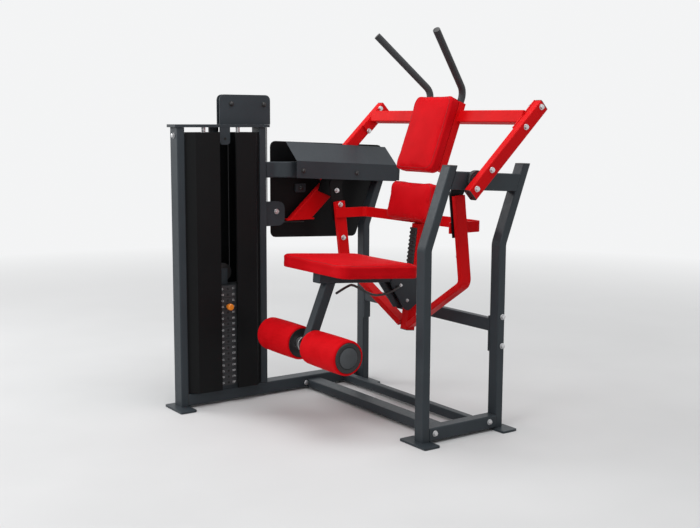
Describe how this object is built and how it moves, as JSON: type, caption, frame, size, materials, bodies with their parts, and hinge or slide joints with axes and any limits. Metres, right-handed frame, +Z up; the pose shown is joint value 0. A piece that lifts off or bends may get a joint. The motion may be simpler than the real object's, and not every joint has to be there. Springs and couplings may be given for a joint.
{
  "type": "seated abdominal crunch machine",
  "caption": "Seated crunch machine: bent-tube frame, swinging upper arm with pad and grips, counter-swinging seat with foot rollers, cable-driven weight stack.",
  "frame": {"origin": "middle of the footprint on the floor", "axes": "+Z up, +X to the sitter's left, +Y behind the sitter"},
  "size_m": [1.3042, 1.3342, 1.8485],
  "materials": {
    "grey_paint": "satin fine-texture powder coat",
    "red_paint": "satin powder coat",
    "red_vinyl": "matt upholstery vinyl",
    "red_foam": "matt foam sleeve",
    "black_sheet": "satin black powder coat",
    "black_plastic": "moulded",
    "black_grip": "matt grip sleeve",
    "zinc": "zinc plated",
    "cable": "sheathed steel cable",
    "iron": "black coated",
    "orange_knob": "moulded"
  },
  "bodies": {
    "frame": {"base_bar": "grey_paint", "front_rail": "grey_paint", "rear_rail": "grey_paint", "left_base_bar": "grey_paint", "left_front_upright": "grey_paint", "left_rear_upright": "grey_paint", "left_top_bar": "grey_paint", "right_rear_upright": "grey_paint", "right_top_bar": "grey_paint", "stack_link": "grey_paint", "rear_cross_bar": "grey_paint", "hood_cover": "grey_paint", "side_shield": "black_sheet", "stack_front_upright": "grey_paint", "stack_rear_upright": "grey_paint", "stack_top_plate": "grey_paint", "guide_rod_front": "zinc", "guide_rod_rear": "zinc", "shroud_front": "black_sheet", "shroud_rear": "black_sheet", "shroud_back": "black_sheet", "pulley_plate_inner": "grey_paint", "pulley_plate_outer": "grey_paint", "ear_bracket": "grey_paint", "weights_resting": "iron", "main_cable": "cable", "anchor_cable": "cable", "head_cable": "cable", "lever_cable": "cable"},
    "arm": {"arm_left": "red_paint", "arm_right": "red_paint", "upper_frame": "red_paint", "upper_pad": "red_vinyl", "handle_left": "black_grip", "handle_right": "black_grip", "drive_lever": "red_paint", "lever_hub": "black_sheet", "pivot_shaft_left": "grey_paint", "pivot_shaft_right": "grey_paint"},
    "hanger": {"hanger_plate_left": "black_sheet", "hanger_plate_right": "black_sheet", "hanger_bar_left": "red_paint", "hanger_bar_right": "red_paint", "back_strap": "red_paint", "lumbar_pad": "red_vinyl", "seat_post": "red_paint", "rack_strip": "black_plastic"},
    "seat": {"seat_carriage": "grey_paint", "seat_pad": "red_vinyl", "roller_arm": "grey_paint"},
    "seat_lever": {"seat_lever": "black_plastic"},
    "roller_left": {"roller_left": "red_foam"},
    "roller_right": {"roller_right": "red_foam"},
    "stack_head": {"weights_lifted": "iron", "head_yoke": "grey_paint"},
    "head_pulley": {"head_pulley": "black_plastic"},
    "selector_pin": {"selector_pin": "orange_knob"},
    "top_pulley_front": {"top_pulley_front": "black_plastic"},
    "top_pulley_rear": {"top_pulley_rear": "black_plastic"},
    "ear_pulley": {"ear_pulley": "black_plastic"}
  },
  "joints": [
    {"name": "arm_swing", "type": "hinge", "parent": "frame", "child": "arm", "pos_m": [0.02662, 0.26988, 1.16], "axis": [1, 0, 0], "range_deg": [0, 45], "deforming": ["lever_cable"]},
    {"name": "hanger_swing", "type": "hinge", "parent": "frame", "child": "hanger", "pos_m": [0.02662, 0.26988, 1.16], "axis": [1, 0, 0], "range_deg": [-16, 0]},
    {"name": "stack_lift", "type": "slide", "parent": "frame", "child": "stack_head", "axis": [0, 0, 1], "range_m": [0, 0.105], "deforming": ["anchor_cable", "head_cable"]},
    {"name": "head_pulley_spin", "type": "hinge", "parent": "stack_head", "child": "head_pulley", "pos_m": [-0.57637, -0.37012, 0.664], "axis": [1, 0, 0], "range_deg": [0, 150]},
    {"name": "top_pulley_front_spin", "type": "hinge", "parent": "frame", "child": "top_pulley_front", "pos_m": [-0.57637, -0.28012, 1.475], "axis": [1, 0, 0], "range_deg": [-240, 0]},
    {"name": "top_pulley_rear_spin", "type": "hinge", "parent": "frame", "child": "top_pulley_rear", "pos_m": [-0.57637, -0.15812, 1.475], "axis": [1, 0, 0], "range_deg": [-240, 0]},
    {"name": "ear_pulley_spin", "type": "hinge", "parent": "frame", "child": "ear_pulley", "pos_m": [-0.57637, -0.06312, 0.945], "axis": [1, 0, 0], "range_deg": [0, 265]},
    {"name": "seat_slide", "type": "slide", "parent": "hanger", "child": "seat", "axis": [0, 0.1288, 0.9917], "range_m": [-0.02, 0.1]},
    {"name": "seat_lever_pull", "type": "hinge", "parent": "seat", "child": "seat_lever", "pos_m": [0.07462, 0.24988, 0.62], "axis": [1, 0, 0], "range_deg": [0, 6], "stiffness_Nm_per_rad": 8, "springref_deg": -28.65},
    {"name": "roller_left_spin", "type": "hinge", "parent": "seat", "child": "roller_left", "pos_m": [0.02662, -0.24612, 0.383], "axis": [1, 0, 0], "continuous": true},
    {"name": "roller_right_spin", "type": "hinge", "parent": "seat", "child": "roller_right", "pos_m": [0.02662, -0.24612, 0.383], "axis": [1, 0, 0], "continuous": true},
    {"name": "pin_pull", "type": "slide", "parent": "stack_head", "child": "selector_pin", "axis": [1, 0, 0], "range_m": [0, 0.06]}
  ],
  "couplings": [
    {"joint": "hanger_swing", "follows": "arm_swing", "ratio": -0.35},
    {"joint": "stack_lift", "follows": "arm_swing", "m_per_rad": 0.13},
    {"joint": "head_pulley_spin", "follows": "arm_swing", "ratio": 3.25},
    {"joint": "top_pulley_front_spin", "follows": "arm_swing", "ratio": -5.2},
    {"joint": "top_pulley_rear_spin", "follows": "arm_swing", "ratio": -5.2},
    {"joint": "ear_pulley_spin", "follows": "arm_swing", "ratio": 5.778}
  ]
}
